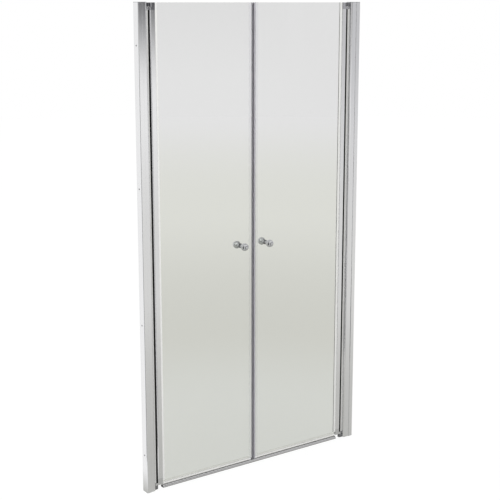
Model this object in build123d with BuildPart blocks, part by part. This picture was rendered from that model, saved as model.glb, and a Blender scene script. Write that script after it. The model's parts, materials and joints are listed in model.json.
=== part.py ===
"""Double swing shower door for a niche: two glass leaves between two wall profiles, over a threshold rail.

Millimetres. X runs along the opening, the outer face looks along -Y, Z is up.
The origin is on the tray, midway between the walls, in the middle plane of the glass.
"""

import os

from build123d import *

# Opening
opening_width = 1020.0
height = 1850.0
left_reach = 38.0
right_reach = 46.0

# Wall channel
channel_depth = 36.0
channel_lip = 18.0
channel_wall = 1.8
channel_lip_radius = 0.7
channel_corner_radius = 2.0
wall_hole_radius = 3.0
wall_hole_count = 4
wall_hole_margin = 150.0

# Adjusting profile, which slides in the channel
slide_clearance = 0.2
profile_length = 35.5
profile_wall = 1.8
profile_nose = 5.0
profile_corner_radius = 7.5
profile_rib_height = 0.8
profile_rib_width = 1.5
profile_rib_gap = 1.0

# Top cover
cover_thickness = 2.0
cover_corner_radius = 9.0
cover_plug_length = 11.0
cover_plug_height = 8.0
cover_plug_setback = 20.0
cover_plug_clearance = 0.2

# Pivot
pivot_setback = 9.5
block_radius = 8.0
block_height = 15.0
block_tail = 14.0
block_edge_radius = 1.2
block_clearance = 0.1
notch_clearance = 0.2
block_floor = 3.0
pin_radius = 3.0
pin_chamfer = 0.6
push_clearance = 0.02
running_clearance = 0.05
bush_radius = 4.5
bush_flange_radius = 6.2
bush_flange = 1.0
bush_float = 0.2
arm_thickness = 9.0
arm_radius = 6.5

# Gap seal, a dark bulb strip round the pivot line
gap_seal_radius = 5.0
gap_seal_stem = 6.4
gap_seal_neck = 2.8
gap_seal_neck_depth = 1.6
gap_seal_foot = 5.8
gap_seal_foot_depth = 2.0
gap_seal_clearance = 0.15
gap_seal_end_gap = 0.4

# Hinge profile, which grips the glass
hinge_edge = 5.5
hinge_width = 22.0
hinge_depth = 16.0
hinge_round = 5.0
hinge_lip_radius = 1.8
hinge_cap_height = 26.0
hinge_cap_clearance = 0.5
slot_depth = 12.0
spigot_radius = 3.0
spigot_length = 14.0
spigot_clearance = 0.1

# Glass
glass_thickness = 6.0
glass_edge_chamfer = 0.4
glass_seat = 3.8
glass_fit = 0.1
gasket_wall = 1.2
gasket_lip = 9.0
gasket_lip_radius = 0.9
gasket_bead = 1.4
gasket_bead_proud = 0.9

# Seam seals
seam_gap = 0.3
seal_chamber = 9.0
seal_chamber_wall = 0.8
seal_arm = 11.0
seal_arm_wall = 1.1
seal_tip_radius = 0.5
seal_floor_gap = 1.0
magnet_fit = 0.1

# Drip seal
drip_wall = 1.0
drip_arm = 9.0
drip_lip = 1.4
drip_fin = 4.5
drip_gap = 0.3

# Threshold rail
threshold_height = 11.0
threshold_depth = 18.0
threshold_shoulder = 4.0
threshold_wall = 1.4
threshold_setback = 27.0

# Knobs
knob_height = 915.0
knob_seam_distance = 60.0
knob_hole_radius = 6.0
washer_radius = 9.0
washer_thickness = 1.0
rosette_radius = 8.5
rosette_thickness = 2.0
neck_radius = 6.6
neck_length = 11.0
head_radius = 15.0
head_flare = 8.0
head_flare_bow = 1.4
head_rim = 4.0
head_rim_round = 0.6
head_step = 1.4
head_barrel = 5.0
head_dome = 10.0
stud_radius = 3.0
stud_engagement = 11.0
stud_end_gap = 0.5

# Small screws
screw_radius = 1.7
screw_head_radius = 3.3
screw_head_height = 2.0
screw_head_round = 0.7
screw_clearance = 0.1
screw_drive_length = 3.4
screw_drive_width = 0.8
screw_drive_depth = 1.1
clamp_screw_tip = 3.0
clamp_screw_inset = 4.2
clamp_screw_margin = 200.0
clamp_screw_count = 3
block_screw_length = 9.0

# Two corners this near to one line count as lying on it
same_place = 0.01

# Worked out from the sizes above
frame_top = height - cover_thickness
profile_depth = channel_depth - 2 * (channel_wall + slide_clearance)
profile_inner = profile_depth / 2 - profile_wall
leaf_bottom = block_height + bush_float + bush_flange
leaf_length = (opening_width - left_reach - right_reach) / 2 - pivot_setback
cap_top = leaf_bottom + hinge_cap_height
cap_bottom = frame_top - hinge_cap_height
arm_top = leaf_bottom + arm_thickness
arm_bottom = frame_top - arm_top
arm_outer = frame_top - leaf_bottom
hinge_end = hinge_edge + hinge_width
slot_floor = hinge_end - slot_depth
slot_width = glass_thickness + 2 * (gasket_wall + 2 * glass_fit)
spigot_place = (hinge_edge + slot_floor) / 2
glass_bottom = leaf_bottom + glass_seat
gasket_start = slot_floor + glass_fit
glass_start = gasket_start + gasket_wall + glass_fit
leaf_end = leaf_length - seam_gap / 2
chamber_start = leaf_end - seal_chamber
glass_end = chamber_start - glass_fit
seal_start = chamber_start - seal_arm
glass_half = glass_thickness / 2
clip_half = glass_half + glass_fit
seal_bottom = threshold_height + seal_floor_gap
drip_web_top = glass_bottom - glass_fit
drip_web_bottom = drip_web_top - drip_wall
drip_top = glass_bottom + drip_arm
drip_half = clip_half + drip_wall
drip_start = hinge_end + drip_gap
drip_end = seal_start - drip_gap
block_tail_start = -pivot_setback - profile_nose - block_clearance
block_tail_end = block_tail_start - block_tail
block_screw_u = block_tail_start - block_tail / 2
knob_base = glass_half + washer_thickness
rosette_end = knob_base + rosette_thickness
neck_end = rosette_end + neck_length
rim_start = neck_end + head_flare
rim_end = rim_start + head_rim
barrel_radius = head_radius - head_step
barrel_start = rim_end + head_step
barrel_end = barrel_start + head_barrel
knob_front = barrel_end + head_dome
dome_radius = (barrel_radius**2 + head_dome**2) / (2 * head_dome)
stud_half = knob_base + stud_engagement


class Jamb:
    """One side of the door. u runs from its pivot line towards the seam, v across the door."""

    def __init__(self, name, inward, reach):
        self.name = name
        self.inward = inward
        self.pivot_x = -inward * (opening_width / 2 - reach - pivot_setback)
        self.wall = -reach - pivot_setback
        self.clamp = self.wall + channel_lip - clamp_screw_inset

    def x(self, u):
        return self.pivot_x + self.inward * u

    def level(self, z):
        """The horizontal plane at height z, with u and v as its axes."""
        return Plane(origin=(self.pivot_x, 0, z), x_dir=(self.inward, 0, 0), z_dir=(0, 0, 1))

    def across(self, u):
        """The upright plane across the door at u, with v and Z as its axes."""
        return Plane(origin=(self.x(u), 0, 0), x_dir=(0, self.inward, 0), z_dir=(self.inward, 0, 0))


def upright(y):
    """The upright plane along the door at y, with X and Z as its axes. It looks along -Y."""
    return Plane.XZ.offset(-y)


def strip(u0, u1, v0, v1, mode=Mode.ADD):
    """A rectangle between two corners."""
    with Locations(((u0 + u1) / 2, (v0 + v1) / 2)):
        Rectangle(u1 - u0, v1 - v0, mode=mode)


def band(u0, u1, half, mode=Mode.ADD):
    """A rectangle that is centred across the door."""
    strip(u0, u1, -half, half, mode)


def dot(u, v, radius, mode=Mode.ADD):
    """A disc at one place."""
    with Locations((u, v)):
        Circle(radius, mode=mode)


def spread(low, high, count):
    """Evenly spaced values from low to high."""
    return [low + (high - low) * i / (count - 1) for i in range(count)]


def corners(sketch, u, beyond=0):
    """The sketch's corners that lie at u, further than the given distance from the middle."""
    return sketch.vertices().filter_by(lambda v: abs(v.X - u) < same_place and abs(v.Y) > beyond)


def keep(builder, label):
    """Names a finished piece and writes it."""
    builder.part.label = label
    export_step(builder.part, f"parts/{label}.step")


wall_hole_heights = spread(wall_hole_margin, frame_top - wall_hole_margin, wall_hole_count)
clamp_screw_heights = spread(clamp_screw_margin, frame_top - clamp_screw_margin, clamp_screw_count)
block_screw_heights = [block_height / 2, frame_top - block_height / 2]


def make_wall_channel(jamb):
    lip_end = jamb.wall + channel_lip
    with BuildPart() as channel:
        with BuildSketch(jamb.level(0)) as outline:
            band(jamb.wall, lip_end, channel_depth / 2)
            band(jamb.wall + channel_wall, lip_end, channel_depth / 2 - channel_wall, Mode.SUBTRACT)
            fillet(corners(outline, lip_end, (channel_depth - channel_wall) / 2), channel_lip_radius)
            fillet(corners(outline, jamb.wall), channel_corner_radius)
        extrude(amount=frame_top)
        with BuildSketch(jamb.across(jamb.wall)):
            for z in wall_hole_heights:
                dot(0, z, wall_hole_radius)
        extrude(amount=channel_wall, mode=Mode.SUBTRACT)
        with BuildSketch(upright(channel_depth / 2)):
            for z in clamp_screw_heights:
                dot(jamb.x(jamb.clamp), z, screw_radius + screw_clearance)
        extrude(amount=channel_wall, mode=Mode.SUBTRACT)
    keep(channel, f"{jamb.name}_wall_channel")


def make_adjusting_profile(jamb):
    end = -pivot_setback
    start = end - profile_length
    rib_start = gap_seal_stem / 2 + profile_rib_gap
    with BuildPart() as profile:
        with BuildSketch(jamb.level(0)) as outline:
            band(start, end, profile_depth / 2)
            fillet(corners(outline, end), profile_corner_radius)
            band(start, end - profile_nose, profile_inner, Mode.SUBTRACT)
            band(end - gap_seal_neck_depth, end, gap_seal_neck / 2 + gap_seal_clearance, Mode.SUBTRACT)
            foot_end = end - gap_seal_neck_depth
            foot_start = foot_end - gap_seal_foot_depth - gap_seal_clearance
            band(foot_start, foot_end, gap_seal_foot / 2 + gap_seal_clearance, Mode.SUBTRACT)
            for v in (-rib_start - profile_rib_width, rib_start):
                strip(end, end + profile_rib_height, v, v + profile_rib_width)
        extrude(amount=frame_top)
        notch = block_height + notch_clearance
        for low in (0, frame_top - notch):
            with BuildSketch(jamb.level(low)):
                band(end - profile_nose, end + profile_rib_height, block_radius + notch_clearance)
            extrude(amount=notch, mode=Mode.SUBTRACT)
        with BuildSketch(upright(profile_depth / 2)):
            for z in clamp_screw_heights:
                dot(jamb.x(jamb.clamp), z, screw_radius + screw_clearance)
            for z in block_screw_heights:
                dot(jamb.x(block_screw_u), z, screw_radius + screw_clearance)
        extrude(amount=profile_wall, mode=Mode.SUBTRACT)
    keep(profile, f"{jamb.name}_adjusting_profile")


def make_top_cover(jamb):
    end = -pivot_setback
    plug_end = end - cover_plug_setback
    with BuildPart() as cover:
        with BuildSketch(jamb.level(frame_top)) as plate:
            band(jamb.wall, end, channel_depth / 2)
            fillet(corners(plate, end), cover_corner_radius)
            fillet(corners(plate, jamb.wall), channel_corner_radius)
        extrude(amount=cover_thickness)
        with BuildSketch(jamb.level(frame_top)):
            band(plug_end - cover_plug_length, plug_end, profile_inner - cover_plug_clearance)
        extrude(amount=-cover_plug_height)
    keep(cover, f"{jamb.name}_top_cover")


def make_pivot_block(jamb, place, low, hole_low):
    """A T-shaped block. Its tail fills the profile's end and its round end carries the pin."""
    with BuildPart() as block:
        with BuildSketch(jamb.level(low)):
            band(block_tail_end, block_tail_start, profile_inner - block_clearance)
            band(block_tail_start, 0, block_radius)
            Circle(block_radius)
        extrude(amount=block_height)
        ends = block.edges().group_by(Axis.Z)
        fillet(ends[0] + ends[-1], block_edge_radius)
        with BuildSketch(jamb.level(hole_low)):
            Circle(pin_radius + push_clearance)
        extrude(amount=block_height - block_floor, mode=Mode.SUBTRACT)
        with BuildSketch(upright(profile_inner)):
            dot(jamb.x(block_screw_u), low + block_height / 2, screw_radius + push_clearance)
        extrude(amount=block_screw_length, mode=Mode.SUBTRACT)
    keep(block, f"{jamb.name}_{place}_pivot_block")


def make_pivot_pin(jamb, place, low, high):
    with BuildPart() as pin:
        with BuildSketch(jamb.level(low)):
            Circle(pin_radius)
        extrude(amount=high - low)
        chamfer(pin.edges().filter_by(GeomType.CIRCLE), pin_chamfer)
    keep(pin, f"{jamb.name}_{place}_pivot_pin")


def make_bush(jamb, place, arm_low, flange_low):
    with BuildPart() as bush:
        with BuildSketch(jamb.level(arm_low)):
            Circle(bush_radius)
        extrude(amount=arm_thickness)
        with BuildSketch(jamb.level(flange_low)):
            Circle(bush_flange_radius)
        extrude(amount=bush_flange)
        with BuildSketch(jamb.level(min(arm_low, flange_low))):
            Circle(pin_radius + running_clearance)
        extrude(amount=arm_thickness + bush_flange, mode=Mode.SUBTRACT)
    keep(bush, f"{jamb.name}_{place}_bush")


def make_screws(jamb, kind, u, heights, seat, length):
    """Pan-head screws in a row at u, driven along -Y from a seat at y."""
    x = jamb.x(u)
    with BuildPart() as screws:
        with BuildSketch(upright(seat)):
            for z in heights:
                dot(x, z, screw_head_radius)
        extrude(amount=-screw_head_height)
        fillet(screws.faces().sort_by(Axis.Y)[-len(heights):].edges(), screw_head_round)
        with BuildSketch(upright(seat)):
            for z in heights:
                dot(x, z, screw_radius)
        extrude(amount=length)
        with BuildSketch(upright(seat + screw_head_height)):
            with Locations(*[(x, z) for z in heights]):
                Rectangle(screw_drive_length, screw_drive_width)
                Rectangle(screw_drive_width, screw_drive_length)
        extrude(amount=screw_drive_depth, mode=Mode.SUBTRACT)
    keep(screws, f"{jamb.name}_{kind}")


def make_gap_seal(jamb):
    end = -pivot_setback
    with BuildPart() as seal:
        with BuildSketch(jamb.level(arm_top + gap_seal_end_gap)):
            Circle(gap_seal_radius)
            band(end, 0, gap_seal_stem / 2)
            neck_end = end - gap_seal_neck_depth - gap_seal_clearance
            band(neck_end, end, gap_seal_neck / 2)
            band(neck_end - gap_seal_foot_depth + gap_seal_clearance, neck_end, gap_seal_foot / 2)
        extrude(amount=arm_bottom - arm_top - 2 * gap_seal_end_gap)
    keep(seal, f"{jamb.name}_gap_seal")


def hinge_outline(start):
    """The hinge profile's outer shape: round towards the pivot, sharper towards the glass."""
    with BuildSketch(mode=Mode.PRIVATE) as outline:
        band(start, hinge_end, hinge_depth / 2)
        fillet(corners(outline, start), hinge_round)
        fillet(corners(outline, hinge_end), hinge_lip_radius)
    return outline.sketch


def make_hinge_profile(jamb):
    with BuildPart() as profile:
        with BuildSketch(jamb.level(cap_top)):
            add(hinge_outline(hinge_edge))
            band(slot_floor, hinge_end, slot_width / 2, Mode.SUBTRACT)
            dot(spigot_place, 0, spigot_radius, Mode.SUBTRACT)
        extrude(amount=cap_bottom - cap_top)
    keep(profile, f"{jamb.name}_hinge_profile")


def make_bottom_cap(jamb):
    with BuildPart() as cap:
        with BuildSketch(jamb.level(leaf_bottom)):
            add(hinge_outline(hinge_edge))
        extrude(amount=hinge_cap_height)
        with BuildSketch(jamb.level(leaf_bottom)):
            Circle(arm_radius)
            band(0, spigot_place, arm_radius)
        extrude(amount=arm_thickness)
        with BuildSketch(jamb.level(glass_bottom)):
            band(slot_floor, hinge_end, slot_width / 2)
        extrude(amount=hinge_cap_height - glass_seat, mode=Mode.SUBTRACT)
        with BuildSketch(jamb.level(leaf_bottom)):
            Circle(bush_radius + push_clearance)
        extrude(amount=arm_thickness, mode=Mode.SUBTRACT)
        with BuildSketch(jamb.level(cap_top)):
            dot(spigot_place, 0, spigot_radius - spigot_clearance)
        extrude(amount=spigot_length)
    keep(cap, f"{jamb.name}_bottom_hinge_cap")


def make_top_cap(jamb):
    """Above the arm, this cap stands back from the pivot block that it swings round."""
    with BuildPart() as cap:
        with BuildSketch(jamb.level(cap_bottom)):
            add(hinge_outline(hinge_edge))
        extrude(amount=arm_outer - cap_bottom)
        with BuildSketch(jamb.level(arm_outer)):
            add(hinge_outline(block_radius + hinge_cap_clearance))
        extrude(amount=frame_top - arm_outer)
        with BuildSketch(jamb.level(arm_bottom)):
            Circle(arm_radius)
            band(0, spigot_place, arm_radius)
        extrude(amount=arm_thickness)
        with BuildSketch(jamb.level(cap_bottom)):
            band(slot_floor, hinge_end, slot_width / 2)
        extrude(amount=hinge_cap_height, mode=Mode.SUBTRACT)
        with BuildSketch(jamb.level(arm_bottom)):
            Circle(bush_radius + push_clearance)
        extrude(amount=arm_thickness, mode=Mode.SUBTRACT)
        with BuildSketch(jamb.level(cap_bottom)):
            dot(spigot_place, 0, spigot_radius - spigot_clearance)
        extrude(amount=-spigot_length)
    keep(cap, f"{jamb.name}_top_hinge_cap")


def make_gasket(jamb):
    """A U round the glass edge. Outside the slot its lips lie on the glass, from the drip seal up."""
    lip_end = hinge_end + gasket_lip
    lip_bottom = drip_top + drip_gap
    bead_start = hinge_end + glass_fit
    outer_half = clip_half + gasket_wall
    with BuildPart() as gasket:
        with BuildSketch(jamb.level(glass_bottom)):
            band(gasket_start, hinge_end, outer_half)
            band(gasket_start + gasket_wall, hinge_end, clip_half, Mode.SUBTRACT)
        extrude(amount=frame_top - glass_bottom)
        with BuildSketch(jamb.level(lip_bottom)) as lips:
            band(hinge_end, lip_end, outer_half)
            fillet(corners(lips, lip_end), gasket_lip_radius)
            band(bead_start, bead_start + gasket_bead, outer_half + gasket_bead_proud)
            band(hinge_end, lip_end, clip_half, Mode.SUBTRACT)
        extrude(amount=frame_top - lip_bottom)
    keep(gasket, f"{jamb.name}_glazing_gasket")


def make_glass(jamb):
    with BuildPart() as glass:
        with BuildSketch(jamb.level(glass_bottom)):
            band(glass_start, glass_end, glass_half)
        extrude(amount=frame_top - glass_bottom)
        chamfer(glass.edges(), glass_edge_chamfer)
        with BuildSketch(upright(glass_half)):
            dot(jamb.x(leaf_length - knob_seam_distance), knob_height, knob_hole_radius)
        extrude(amount=glass_thickness, mode=Mode.SUBTRACT)
    keep(glass, f"{jamb.name}_glass")


def make_magnet_seal(jamb):
    """A clip on the glass edge with a closed chamber at the seam."""
    arm_half = clip_half + seal_arm_wall
    chamber_half = seal_chamber / 2
    with BuildPart() as seal:
        with BuildSketch(jamb.level(seal_bottom)) as outline:
            band(seal_start, chamber_start, arm_half)
            fillet(corners(outline, seal_start), seal_tip_radius)
            band(seal_start, chamber_start, clip_half, Mode.SUBTRACT)
            band(chamber_start, leaf_end, chamber_half)
            inner = (chamber_start + seal_chamber_wall, leaf_end - seal_chamber_wall)
            band(*inner, chamber_half - seal_chamber_wall, Mode.SUBTRACT)
        extrude(amount=frame_top - seal_bottom)
    keep(seal, f"{jamb.name}_magnet_seal")


def make_magnet_strip(jamb):
    inset = seal_chamber_wall + magnet_fit
    with BuildPart() as magnet:
        with BuildSketch(jamb.level(seal_bottom + inset)):
            band(chamber_start + inset, leaf_end - inset, seal_chamber / 2 - inset)
        extrude(amount=frame_top - seal_bottom - 2 * inset)
    keep(magnet, f"{jamb.name}_magnet_strip")


def make_drip_seal(jamb):
    """A clip on the glass's lower edge, with a lip over the threshold and a fin on the inner face."""
    inner_face = jamb.inward
    lip_bottom = threshold_height + drip_gap
    with BuildPart() as seal:
        with BuildSketch(jamb.across(drip_start)):
            strip(-drip_half, drip_half, drip_web_bottom, drip_top)
            strip(-clip_half, clip_half, drip_web_top, drip_top, Mode.SUBTRACT)
            strip(-drip_lip / 2, drip_lip / 2, lip_bottom, drip_web_bottom)
            fin_root = inner_face * drip_half
            fin_tip = inner_face * (drip_half + drip_fin)
            with BuildLine():
                Polyline(
                    (fin_root, drip_web_bottom),
                    (fin_tip, drip_web_bottom - drip_fin),
                    (fin_tip, drip_web_bottom - drip_fin + drip_wall),
                    (fin_root, drip_web_top),
                    close=True,
                )
            make_face()
        extrude(amount=drip_end - drip_start)
    keep(seal, f"{jamb.name}_drip_seal")


def make_knob(jamb, place, outward):
    """A turned knob on one face of the glass. outward is -1 on the outer face and 1 on the inner face."""
    x = jamb.x(leaf_length - knob_seam_distance)
    half_section = Plane(origin=(x, 0, knob_height), x_dir=(1, 0, 0), z_dir=(0, 0, outward))
    flare_start = (neck_radius, neck_end)
    flare_end = (head_radius, rim_start)
    dome_edge = (barrel_radius, barrel_end)
    flare_middle_radius = (neck_radius + head_radius) / 2 - head_flare_bow
    flare_middle = (flare_middle_radius, (neck_end + rim_start) / 2 + head_flare_bow)
    with BuildPart() as knob:
        with BuildSketch(half_section):
            with BuildLine():
                Polyline((0, knob_base), (rosette_radius, knob_base), (rosette_radius, rosette_end))
                Polyline((rosette_radius, rosette_end), (neck_radius, rosette_end), flare_start)
                ThreePointArc(flare_start, flare_middle, flare_end)
                Polyline(flare_end, (head_radius, rim_end), (barrel_radius, barrel_start), dome_edge)
                RadiusArc(dome_edge, (0, knob_front), -dome_radius)
                Line((0, knob_front), (0, knob_base))
            make_face()
        revolve(axis=Axis((x, 0, knob_height), (0, 1, 0)))
        circles = knob.edges().filter_by(GeomType.CIRCLE)
        fillet(circles.filter_by(lambda e: e.radius > barrel_radius + head_step / 2), head_rim_round)
        with BuildSketch(upright(outward * knob_base)):
            dot(x, knob_height, stud_radius + push_clearance)
        extrude(amount=-outward * (stud_engagement + stud_end_gap), mode=Mode.SUBTRACT)
    keep(knob, f"{jamb.name}_{place}_knob")


def make_knob_fixings(jamb):
    x = jamb.x(leaf_length - knob_seam_distance)
    with BuildPart() as stud:
        with BuildSketch(upright(stud_half)):
            dot(x, knob_height, stud_radius)
        extrude(amount=2 * stud_half)
    keep(stud, f"{jamb.name}_knob_stud")
    with BuildPart() as sleeve:
        with BuildSketch(upright(glass_half)):
            dot(x, knob_height, knob_hole_radius - glass_fit)
            dot(x, knob_height, stud_radius + running_clearance, Mode.SUBTRACT)
        extrude(amount=glass_thickness)
    keep(sleeve, f"{jamb.name}_knob_sleeve")
    with BuildPart() as washers:
        for y in (knob_base, -glass_half):
            with BuildSketch(upright(y)):
                dot(x, knob_height, washer_radius)
                dot(x, knob_height, stud_radius + running_clearance, Mode.SUBTRACT)
            extrude(amount=washer_thickness)
    keep(washers, f"{jamb.name}_knob_washers")


def make_threshold(left, right):
    half = threshold_depth / 2
    start = left.x(threshold_setback)
    end = right.x(threshold_setback)
    with BuildPart() as rail:
        with BuildSketch(Plane.YZ.offset(start)):
            with BuildLine():
                Polyline((-half, threshold_shoulder), (-half, 0), (half, 0), (half, threshold_shoulder))
                ThreePointArc((half, threshold_shoulder), (0, threshold_height), (-half, threshold_shoulder))
            make_face()
            offset(amount=-threshold_wall, kind=Kind.INTERSECTION, mode=Mode.SUBTRACT)
        extrude(amount=end - start)
    keep(rail, "threshold_rail")


def make_frame_side(jamb):
    make_wall_channel(jamb)
    make_adjusting_profile(jamb)
    make_top_cover(jamb)
    block_top_low = frame_top - block_height
    make_pivot_block(jamb, "bottom", 0, block_floor)
    make_pivot_block(jamb, "top", block_top_low, block_top_low)
    pin_end = arm_top - pin_chamfer
    pin_start = block_floor + stud_end_gap
    make_pivot_pin(jamb, "bottom", pin_start, pin_end)
    make_pivot_pin(jamb, "top", frame_top - pin_end, frame_top - pin_start)
    clamp_length = channel_wall + slide_clearance + profile_wall + clamp_screw_tip
    make_screws(jamb, "clamp_screws", jamb.clamp, clamp_screw_heights, channel_depth / 2, clamp_length)
    block_seat = profile_depth / 2
    make_screws(jamb, "block_screws", block_screw_u, block_screw_heights, block_seat, block_screw_length)
    make_gap_seal(jamb)


def make_leaf(jamb):
    make_hinge_profile(jamb)
    make_bottom_cap(jamb)
    make_top_cap(jamb)
    make_bush(jamb, "bottom", leaf_bottom, leaf_bottom - bush_flange)
    make_bush(jamb, "top", arm_bottom, arm_outer)
    make_gasket(jamb)
    make_glass(jamb)
    make_magnet_seal(jamb)
    make_magnet_strip(jamb)
    make_drip_seal(jamb)
    make_knob(jamb, "outer", -1)
    make_knob(jamb, "inner", 1)
    make_knob_fixings(jamb)


os.makedirs("parts", exist_ok=True)
left_jamb = Jamb("left", 1, left_reach)
right_jamb = Jamb("right", -1, right_reach)
for side in (left_jamb, right_jamb):
    make_frame_side(side)
    make_leaf(side)
make_threshold(left_jamb, right_jamb)
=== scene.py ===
"""Looks of the double swing shower door: bright anodised profiles, clear glass, soft seals and chrome knobs.

Metres. The opening runs along X, the outer face looks along -Y, Z is up, and the tray is at Z = 0.
"""

import json
import math

import bpy
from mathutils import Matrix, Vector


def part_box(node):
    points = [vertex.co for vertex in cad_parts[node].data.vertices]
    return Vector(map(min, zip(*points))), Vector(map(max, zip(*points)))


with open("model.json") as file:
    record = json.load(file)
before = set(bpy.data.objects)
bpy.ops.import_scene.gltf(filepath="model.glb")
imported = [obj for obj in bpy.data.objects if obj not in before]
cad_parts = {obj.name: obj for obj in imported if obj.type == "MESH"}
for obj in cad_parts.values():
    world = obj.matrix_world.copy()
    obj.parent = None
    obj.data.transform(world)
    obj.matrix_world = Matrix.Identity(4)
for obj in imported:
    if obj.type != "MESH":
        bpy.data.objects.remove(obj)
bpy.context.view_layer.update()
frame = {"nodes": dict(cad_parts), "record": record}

MM = 0.001
SIDES = ("left", "right")

# Sockets of a Mix node that mixes colours
FIRST_COLOUR = 6
SECOND_COLOUR = 7
MIXED_COLOUR = 2

# Camera, in metres, degrees and the share of the picture's side
CAMERA_PLACE = (-2.4406, -3.4724, 1.8471)
CAMERA_TURN = 34.898
CAMERA_DOWN = 11.669
CAMERA_LENS_MM = 79.26
CAMERA_SHIFT_Y = -0.04

# Lamp, in metres, watts and degrees
LAMP_PLACE = (-2.2, -2.6, 3.4)
LAMP_SIDE = 2.4
LAMP_WATTS = 55.0
LAMP_TILT = 52.0
LAMP_TURN = -40.0

# Floor and surround. The glow and the matt share together come out as white. Each tone has its distance in metres
SURROUND_LIGHT = 0.75
HAZE_IN_GLASS = "#F2F0F3"
FLOOR_RADIUS = 14.0
FLOOR_GLOW = 0.88
FLOOR_MATT = 0.165
FLOOR_LIT = "#E9E9E7"
FLOOR_IN_METAL = ((0.1, "#BEBEBA"), (0.8, "#CCCCC9"), (2.8, "#E4E4E2"), (13.9, "#FFFFFF"))
FLOOR_IN_GLASS = ((0.1, "#E2E2DF"), (0.7, "#E2E2DF"), (1.9, "#DBDAD5"), (5.5, "#EAE9E5"), (13.9, HAZE_IN_GLASS))
DOOR_LEFT_SIDE = -0.51
DOOR_SIDE_BLUR = 0.1

# Dark cards, in metres, and in degrees from -Y towards +X. A card is clear below one height and full above another
CARD_RADIUS = 3.4
CARD_TOP = 3.2
CARD_STEP = 4.0
CARD_FADE = 10.0
CARDS = {
    "eye_card": {"first": 2.0, "last": 44.0, "clear": 1.35, "full": 1.85, "colour": "#6A6A6C"},
    "right_card": {"first": 34.0, "last": 90.0, "clear": 0.2, "full": 1.5, "colour": "#D2D2D4"},
    "back_card": {"first": 92.0, "last": 152.0, "colour": "#6E6E70"},
    "camera_card": {"first": -34.0, "last": -10.0, "colour": "#262628", "near": 0.8, "fade": 4.0},
    "left_card": {"first": -110.0, "last": -58.0, "colour": "#262628", "near": 0.8, "fade": 4.0},
}

# The gap seal is black in front of this distance behind the pivot line, and painted pale behind it: a painted
# highlight for the bright line in the shaded gap
SEAL_PAINTED_LIGHT_START = 0.0015

# The drip seal is painted grey up to this height over the threshold rail, a painted contact shadow where it meets the
# rail
DRIP_PAINTED_SHADOW_HEIGHT = 0.0015


def linear(hex_colour):
    """A colour written in sRGB, as the linear numbers that a shader takes."""
    channels = [int(hex_colour[i : i + 2], 16) / 255 for i in (1, 3, 5)]
    return [c / 12.92 if c <= 0.04045 else ((c + 0.055) / 1.055) ** 2.4 for c in channels] + [1.0]


def add(tree, kind, inputs=None, **settings):
    """Adds a node. Its settings are attributes, and each input is a value or another node's output."""
    node = tree.nodes.new(kind)
    for name, value in settings.items():
        setattr(node, name, value)
    for name, value in (inputs or {}).items():
        if isinstance(value, bpy.types.NodeSocket):
            tree.links.new(value, node.inputs[name])
        else:
            node.inputs[name].default_value = value
    return node


def new_material(name):
    """An empty node material with its output, ready for a shader."""
    material = bpy.data.materials.new(name)
    material.use_nodes = True
    material.node_tree.nodes.clear()
    output = add(material.node_tree, "ShaderNodeOutputMaterial")
    return material, material.node_tree, output


def place_on_object(tree, stretch=(1, 1, 1)):
    """Object coordinates in metres, with each axis multiplied by its stretch."""
    coordinates = add(tree, "ShaderNodeTexCoord")
    return add(tree, "ShaderNodeMapping", {"Vector": coordinates.outputs["Object"], "Scale": stretch}).outputs[0]


def per_mm(size_mm):
    """The scale that gives a pattern features of this size in millimetres."""
    return 1.0 / (size_mm * MM)


def extruded_aluminium(name, colour, along, roughness):
    """Aluminium extrusion, chemically brightened and anodised: mirror-like, with fine die lines along its length.

    The real lines are a tenth of a millimetre apart. They are drawn ten times as coarse, so that they show.
    """
    die_line_mm = 1.0
    line_length_mm = 700.0
    line_depth_mm = 0.05
    haze_mm = 90.0
    gloss_change = 0.03
    haze_change = 0.05

    material, tree, output = new_material(name)
    stretch = [die_line_mm / line_length_mm if axis == along else 1.0 for axis in "XYZ"]
    place = place_on_object(tree, stretch)
    lines = add(tree, "ShaderNodeTexNoise", {"Vector": place, "Scale": per_mm(die_line_mm), "Detail": 3.0})
    haze = add(tree, "ShaderNodeTexNoise", {"Vector": place_on_object(tree), "Scale": per_mm(haze_mm), "Detail": 2.0})
    tone = add(
        tree,
        "ShaderNodeMapRange",
        {
            "Value": lines.outputs[0],
            "From Min": 0.3,
            "From Max": 0.7,
            "To Min": roughness - gloss_change,
            "To Max": roughness + gloss_change,
        },
    )
    cloudy = add(
        tree,
        "ShaderNodeMath",
        {0: haze.outputs[0], 1: haze_change, 2: tone.outputs[0]},
        operation="MULTIPLY_ADD",
    )
    bump = add(
        tree,
        "ShaderNodeBump",
        {"Height": lines.outputs[0], "Strength": 0.06, "Distance": line_depth_mm * MM},
    )
    shader = add(
        tree,
        "ShaderNodeBsdfPrincipled",
        {
            "Base Color": linear(colour),
            "Metallic": 1.0,
            "Roughness": cloudy.outputs[0],
            "Normal": bump.outputs[0],
        },
    )
    tree.links.new(shader.outputs[0], output.inputs["Surface"])
    return material


def plated(name, colour, roughness):
    """Metal, plated or turned bright: a clear mirror that faint wipe marks, a few millimetres wide, soften."""
    wipe_mark_mm = 6.0

    material, tree, output = new_material(name)
    marks = add(
        tree,
        "ShaderNodeTexNoise",
        {"Vector": place_on_object(tree), "Scale": per_mm(wipe_mark_mm), "Detail": 4.0},
    )
    tone = add(
        tree,
        "ShaderNodeMapRange",
        {"Value": marks.outputs[0], "To Min": roughness * 0.6, "To Max": roughness * 1.4},
    )
    shader = add(
        tree,
        "ShaderNodeBsdfPrincipled",
        {"Base Color": linear(colour), "Metallic": 1.0, "Roughness": tone.outputs[0]},
    )
    tree.links.new(shader.outputs[0], output.inputs["Surface"])
    return material


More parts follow.
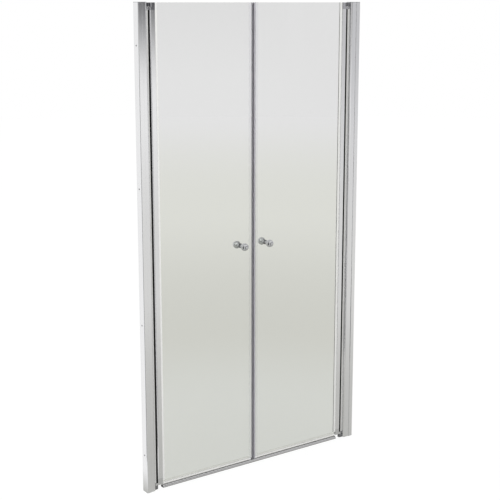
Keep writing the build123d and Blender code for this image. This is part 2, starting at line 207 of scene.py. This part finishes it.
def moulded(name, colour, roughness, grain_mm, grain_depth_mm, more=None):
    """A moulded or extruded polymer with a fine skin: its grain shows as a slight unevenness of the gloss."""
    material, tree, output = new_material(name)
    grain = add(
        tree,
        "ShaderNodeTexNoise",
        {"Vector": place_on_object(tree), "Scale": per_mm(grain_mm), "Detail": 3.0},
    )
    tone = add(
        tree,
        "ShaderNodeMapRange",
        {"Value": grain.outputs[0], "To Min": roughness * 0.8, "To Max": roughness * 1.2},
    )
    bump = add(
        tree,
        "ShaderNodeBump",
        {"Height": grain.outputs[0], "Strength": 0.3, "Distance": grain_depth_mm * MM},
    )
    inputs = {"Base Color": linear(colour), "Roughness": tone.outputs[0], "Normal": bump.outputs[0]}
    inputs.update(more or {})
    shader = add(tree, "ShaderNodeBsdfPrincipled", inputs)
    tree.links.new(shader.outputs[0], output.inputs["Surface"])
    return material


def two_colours(material, is_second, first, second):
    """Gives a moulded material a second colour, which here paints light or shade onto it. is_second is 1 where the
    second one shows.
    """
    tree = material.node_tree
    colour = add(
        tree,
        "ShaderNodeMix",
        {"Factor": is_second, FIRST_COLOUR: linear(first), SECOND_COLOUR: linear(second)},
        data_type="RGBA",
    )
    tree.links.new(colour.outputs[MIXED_COLOUR], tree.nodes["Principled BSDF"].inputs["Base Color"])


def gap_seal(name, pivot_x, inward):
    """Seal with a black wiping face and a body painted pale behind it, a painted highlight in the shaded gap; both
    have an extruded rubber's dull gloss.
    """
    black, pale = "#0D0C0C", "#E2E2E0"
    material = moulded(name, black, 0.5, 1.5, 0.02, {"Specular IOR Level": 0.2})
    tree = material.node_tree
    axes = add(tree, "ShaderNodeSeparateXYZ", {0: add(tree, "ShaderNodeTexCoord").outputs["Object"]})
    behind = add(
        tree,
        "ShaderNodeMath",
        {0: axes.outputs["X"], 1: -inward, 2: inward * pivot_x},
        operation="MULTIPLY_ADD",
    )
    # Painted highlight: the body behind the wiping face is pale so that it reads bright in the shaded gap
    is_painted_light = add(
        tree,
        "ShaderNodeMath",
        {0: behind.outputs[0], 1: SEAL_PAINTED_LIGHT_START},
        operation="GREATER_THAN",
    )
    two_colours(material, is_painted_light.outputs[0], black, pale)
    return material


def drip_seal(name, clear_inputs):
    """Clear vinyl clip, as clear as the glass it holds, with a painted contact shadow in grey along its lip just over
    the threshold rail.
    """
    clear, grey = "#FAFAF9", "#B9BAB8"
    material = moulded(name, clear, 0.04, 3.0, 0.003, clear_inputs)
    tree = material.node_tree
    # Painted shadow: the lip is grey up to a little over the rail, where the seal meets it
    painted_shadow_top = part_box("threshold_rail")[1][2] + DRIP_PAINTED_SHADOW_HEIGHT
    axes = add(tree, "ShaderNodeSeparateXYZ", {0: add(tree, "ShaderNodeTexCoord").outputs["Object"]})
    is_painted_shadow = add(tree, "ShaderNodeMath", {0: axes.outputs["Z"], 1: painted_shadow_top}, operation="LESS_THAN")
    two_colours(material, is_painted_shadow.outputs[0], clear, grey)
    return material


def toughened_glass(name):
    """Clear float glass, 6 mm thick. Iron in it gives a faint green, which is deeper at its ground edges."""
    face, edge = "#EDEFEC", "#9DB8AC"
    material, tree, output = new_material(name)
    axes = add(tree, "ShaderNodeSeparateXYZ", {0: add(tree, "ShaderNodeTexCoord").outputs["Normal"]})
    facing = add(tree, "ShaderNodeMath", {0: axes.outputs["Y"]}, operation="ABSOLUTE")
    is_face = add(tree, "ShaderNodeMath", {0: facing.outputs[0], 1: 0.5}, operation="GREATER_THAN")
    colour = add(
        tree,
        "ShaderNodeMix",
        {"Factor": is_face.outputs[0], FIRST_COLOUR: linear(edge), SECOND_COLOUR: linear(face)},
        data_type="RGBA",
    )
    shader = add(
        tree,
        "ShaderNodeBsdfPrincipled",
        {"Base Color": colour.outputs[MIXED_COLOUR], "Roughness": 0.0, "IOR": 1.5, "Transmission Weight": 1.0},
    )
    tree.links.new(shader.outputs[0], output.inputs["Surface"])
    return material


def finish_nodes(material, kinds, sides=SIDES):
    """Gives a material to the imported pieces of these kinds."""
    for side in sides:
        for kind in kinds:
            frame["nodes"][f"{side}_{kind}"].data.materials[0] = material


def dress_metal():
    # Extruded, brightened and anodised: long grey and white bands between thin dark lines
    upright_profile = extruded_aluminium("bright_anodised_aluminium", "#E9E9EA", "Z", 0.11)
    finish_nodes(upright_profile, ("wall_channel", "adjusting_profile", "hinge_profile"))
    # The same finish on the bar at the floor, in a darker colour and a little rougher
    rail = extruded_aluminium("bright_anodised_aluminium_rail", "#C2C2C2", "X", 0.14)
    frame["nodes"]["threshold_rail"].data.materials[0] = rail
    # Die cast and satin chromed: as light as the profile above it
    satin_casting = plated("satin_chrome_plated_zinc", "#D6D6D7", 0.16)
    finish_nodes(satin_casting, ("bottom_hinge_cap",))
    # Die cast, polished and chromed: a clear mirror
    casting = plated("chrome_plated_zinc", "#BEBEC1", 0.1)
    finish_nodes(casting, ("top_hinge_cap",))
    # Die cast and black nickelled: a dark mirror
    dark_casting = plated("black_nickel_plated_zinc", "#88888B", 0.12)
    finish_nodes(dark_casting, ("bottom_pivot_block", "top_pivot_block"))
    # Turned, polished and chromed: the sharpest mirror on the door
    turned = plated("chrome_plated_brass", "#C4C5C6", 0.04)
    finish_nodes(turned, ("outer_knob", "inner_knob"))
    # Turned and left as machined: soft, warm highlights
    steel = plated("stainless_steel", "#B9B8B6", 0.28)
    finish_nodes(steel, ("clamp_screws", "block_screws", "bottom_pivot_pin", "top_pivot_pin", "knob_stud"))


def dress_polymers():
    # Injection moulded and lacquered in silver: an even, soft metallic sheen
    cover = moulded("silver_lacquered_abs", "#B4B5B8", 0.25, 2.0, 0.01, {"Metallic": 0.8})
    finish_nodes(cover, ("top_cover",))
    for joint in frame["record"]["behaviour"]["joints"]:
        side = joint["name"].split("_")[0]
        pivot_x = joint["pos_m"][0]
        inward = math.copysign(1.0, -pivot_x)
        # Each gap seal gets a painted highlight on its body behind the black face
        finish_nodes(gap_seal(f"black_tpe_with_painted_light_{side}", pivot_x, inward), ("gap_seal",), (side,))
    # Extruded elastomer: matt and white
    gasket = moulded("white_tpe", "#F1F1EF", 0.5, 1.5, 0.01)
    finish_nodes(gasket, ("glazing_gasket",))
    # Moulded without pigment: a milky, slightly yellow white
    nylon = moulded("natural_nylon", "#E4E2DA", 0.45, 1.0, 0.01)
    finish_nodes(nylon, ("bottom_bush", "top_bush", "knob_sleeve"))
    # Extruded vinyl clips. They cling to the glass, so hardly any light is lost between the two, which an index
    # under vinyl's own 1.5 gives here, where a fit leaves a thin gap
    clinging = {"Transmission Weight": 1.0, "IOR": 1.2}
    vinyl = moulded("clear_soft_pvc", "#FAFAFB", 0.05, 3.0, 0.005, clinging)
    finish_nodes(vinyl, ("magnet_seal", "knob_washers"))
    # The drip seal's clip carries a painted contact shadow along its lip
    finish_nodes(drip_seal("clear_soft_pvc_with_painted_shadow", clinging), ("drip_seal",))
    # Magnet strips, ferrite powder bonded in rubber: one dull grey, given in two tones, with painted shade on the
    # left strip and painted light on the right
    finish_nodes(moulded("bonded_ferrite_painted_shade", "#86858A", 0.5, 1.0, 0.01), ("magnet_strip",), ("left",))
    finish_nodes(moulded("bonded_ferrite_painted_light", "#C6C5CA", 0.5, 1.0, 0.01), ("magnet_strip",), ("right",))


def seen_directly(tree):
    """Camera ray, glass ray, and either of them or a mirror ray, each 1 or 0. The last is 0 for light's own rays."""
    path = add(tree, "ShaderNodeLightPath")
    direct = add(
        tree,
        "ShaderNodeMath",
        {0: path.outputs["Is Camera Ray"], 1: path.outputs["Is Glossy Ray"]},
        operation="MAXIMUM",
    )
    seen = add(
        tree,
        "ShaderNodeMath",
        {0: direct.outputs[0], 1: path.outputs["Is Transmission Ray"]},
        operation="MAXIMUM",
    )
    return path.outputs["Is Camera Ray"], path.outputs["Is Transmission Ray"], seen.outputs[0]


def make_world():
    """An even white surround, which glass shows a little softened."""
    world = bpy.data.worlds.new("white_surround")
    world.use_nodes = True
    tree = world.node_tree
    tree.nodes.clear()
    _, glass_ray, seen = seen_directly(tree)
    colour = add(
        tree,
        "ShaderNodeMix",
        {"Factor": glass_ray, FIRST_COLOUR: linear("#FFFFFF"), SECOND_COLOUR: linear(HAZE_IN_GLASS)},
        data_type="RGBA",
    )
    strength = add(tree, "ShaderNodeMapRange", {"Value": seen, "To Min": SURROUND_LIGHT, "To Max": 1.0})
    background = add(
        tree,
        "ShaderNodeBackground",
        {"Color": colour.outputs[MIXED_COLOUR], "Strength": strength.outputs[0]},
    )
    output = add(tree, "ShaderNodeOutputWorld")
    tree.links.new(background.outputs[0], output.inputs["Surface"])
    bpy.context.scene.world = world


def tone_by_distance(tree, distance, stops):
    """A grey that changes with the distance from the door. Each stop is metres and an sRGB colour."""
    reach = stops[-1][0]
    share = add(tree, "ShaderNodeMath", {0: distance, 1: reach}, operation="DIVIDE")
    ramp = add(tree, "ShaderNodeValToRGB", {0: share.outputs[0]})
    ramp.color_ramp.interpolation = "EASE"
    elements = ramp.color_ramp.elements
    for i, (place, colour) in enumerate(stops):
        stop = elements[i] if i < 2 else elements.new(place / reach)
        stop.position = place / reach
        stop.color = linear(colour)
    return ramp.outputs[0]


def make_floor():
    """A pale floor, white to the eye. Glass and metal see its tone sink a little towards the door."""
    bpy.ops.mesh.primitive_circle_add(vertices=96, radius=FLOOR_RADIUS, fill_type="NGON")
    floor = bpy.context.object
    floor.name = "pale_floor"
    material, tree, output = new_material("pale_floor")
    place = add(tree, "ShaderNodeTexCoord").outputs["Object"]
    distance = add(tree, "ShaderNodeVectorMath", {0: place}, operation="LENGTH").outputs["Value"]
    sideways = add(tree, "ShaderNodeSeparateXYZ", {0: place})
    right_of_edge = add(
        tree,
        "ShaderNodeMapRange",
        {"Value": sideways.outputs["X"], "From Min": DOOR_LEFT_SIDE - DOOR_SIDE_BLUR, "From Max": DOOR_LEFT_SIDE},
    )
    in_metal = tone_by_distance(tree, distance, FLOOR_IN_METAL)
    in_glass = tone_by_distance(tree, distance, FLOOR_IN_GLASS)
    camera_ray, glass_ray, seen = seen_directly(tree)
    sided = add(
        tree,
        "ShaderNodeMix",
        {"Factor": right_of_edge.outputs[0], FIRST_COLOUR: linear("#FFFFFF"), SECOND_COLOUR: in_metal},
        data_type="RGBA",
    )
    toned = add(
        tree,
        "ShaderNodeMix",
        {"Factor": glass_ray, FIRST_COLOUR: sided.outputs[MIXED_COLOUR], SECOND_COLOUR: in_glass},
        data_type="RGBA",
    )
    colour = add(
        tree,
        "ShaderNodeMix",
        {"Factor": camera_ray, FIRST_COLOUR: toned.outputs[MIXED_COLOUR], SECOND_COLOUR: linear("#FFFFFF")},
        data_type="RGBA",
    )
    glow = add(tree, "ShaderNodeEmission", {"Color": colour.outputs[MIXED_COLOUR], "Strength": FLOOR_GLOW})
    matt = add(
        tree,
        "ShaderNodeMix",
        {
            "Factor": 1.0 - FLOOR_MATT,
            FIRST_COLOUR: colour.outputs[MIXED_COLOUR],
            SECOND_COLOUR: linear("#000000"),
        },
        data_type="RGBA",
    )
    keep_shadow = add(tree, "ShaderNodeBsdfDiffuse", {"Color": matt.outputs[MIXED_COLOUR]})
    both = add(tree, "ShaderNodeAddShader", {0: glow.outputs[0], 1: keep_shadow.outputs[0]})
    lit = add(tree, "ShaderNodeBsdfDiffuse", {"Color": linear(FLOOR_LIT)})
    mix = add(tree, "ShaderNodeMixShader", {0: seen, 1: lit.outputs[0], 2: both.outputs[0]})
    tree.links.new(mix.outputs[0], output.inputs["Surface"])
    floor.data.materials.append(material)


def ring_point(angle, radius, z):
    """A point round the set. The angle runs from -Y towards +X."""
    turn = math.radians(angle)
    return (radius * math.sin(turn), -radius * math.cos(turn), z)


def card_cloth(name, first, last, clear, full, colour, fade):
    """Dark cloth that thins out towards its lower edge and its two upright edges."""
    material, tree, output = new_material(name)
    axes = add(tree, "ShaderNodeSeparateXYZ", {0: add(tree, "ShaderNodeTexCoord").outputs["Object"]})
    forward = add(tree, "ShaderNodeMath", {0: axes.outputs["Y"], 1: -1.0}, operation="MULTIPLY")
    angle = add(tree, "ShaderNodeMath", {0: axes.outputs["X"], 1: forward.outputs[0]}, operation="ARCTAN2")
    cover = None
    for value, low, high in (
        (axes.outputs["Z"], clear, full),
        (angle.outputs[0], math.radians(first), math.radians(first + fade)),
        (angle.outputs[0], math.radians(last), math.radians(last - fade)),
    ):
        rise = add(tree, "ShaderNodeMapRange", {"Value": value, "From Min": low, "From Max": high})
        if cover is None:
            cover = rise
        else:
            cover = add(tree, "ShaderNodeMath", {0: cover.outputs[0], 1: rise.outputs[0]}, operation="MULTIPLY")
    see_through = add(tree, "ShaderNodeBsdfTransparent")
    cloth = add(tree, "ShaderNodeEmission", {"Color": linear(colour), "Strength": 1.0})
    mix = add(tree, "ShaderNodeMixShader", {0: cover.outputs[0], 1: see_through.outputs[0], 2: cloth.outputs[0]})
    tree.links.new(mix.outputs[0], output.inputs["Surface"])
    return material


def make_card(name, first, last, colour, clear=-0.1, full=-0.05, near=None, fade=CARD_FADE):
    """A dark card round the set that only mirror rays see. With near, it also lies on the floor from there out."""
    count = round((last - first) / CARD_STEP)
    bottom = max(clear, MM)
    vertices = []
    for i in range(count + 1):
        angle = first + (last - first) * i / count
        column = [ring_point(angle, CARD_RADIUS, bottom), ring_point(angle, CARD_RADIUS, CARD_TOP)]
        if near:
            column.insert(0, ring_point(angle, near, bottom))
        vertices += column
    rows = len(vertices) // (count + 1)
    starts = [i * rows + j for i in range(count) for j in range(rows - 1)]
    faces = [(start, start + rows, start + rows + 1, start + 1) for start in starts]
    mesh = bpy.data.meshes.new(name)
    mesh.from_pydata(vertices, [], faces)
    mesh.materials.append(card_cloth(f"{name}_cloth", first, last, clear, full, colour, fade))
    card = bpy.data.objects.new(name, mesh)
    bpy.context.scene.collection.objects.link(card)
    for ray in ("camera", "diffuse", "transmission", "shadow", "volume_scatter"):
        setattr(card, f"visible_{ray}", False)


def make_lamp():
    """One large soft lamp, high in front on the left."""
    lamp = bpy.data.lights.new("soft_lamp", "AREA")
    lamp.shape = "RECTANGLE"
    lamp.size = LAMP_SIDE
    lamp.size_y = LAMP_SIDE
    lamp.energy = LAMP_WATTS
    holder = bpy.data.objects.new("soft_lamp", lamp)
    holder.location = LAMP_PLACE
    holder.rotation_euler = (math.radians(LAMP_TILT), 0, math.radians(LAMP_TURN))
    holder.visible_glossy = False
    bpy.context.scene.collection.objects.link(holder)


def make_camera():
    """The photograph's view: from the left, a little down, with a long lens."""
    data = bpy.data.cameras.new("camera")
    data.lens = CAMERA_LENS_MM
    data.shift_y = CAMERA_SHIFT_Y
    camera = bpy.data.objects.new("camera", data)
    camera.location = CAMERA_PLACE
    camera.rotation_euler = (math.radians(90 - CAMERA_DOWN), 0, math.radians(-CAMERA_TURN))
    bpy.context.scene.collection.objects.link(camera)
    bpy.context.scene.camera = camera


dress_metal()
dress_polymers()
finish_nodes(toughened_glass("toughened_glass"), ("glass",))
make_world()
make_floor()
for card_name, card_sizes in CARDS.items():
    make_card(card_name, **card_sizes)
make_lamp()
make_camera()
bpy.context.scene.view_settings.view_transform = "Standard"
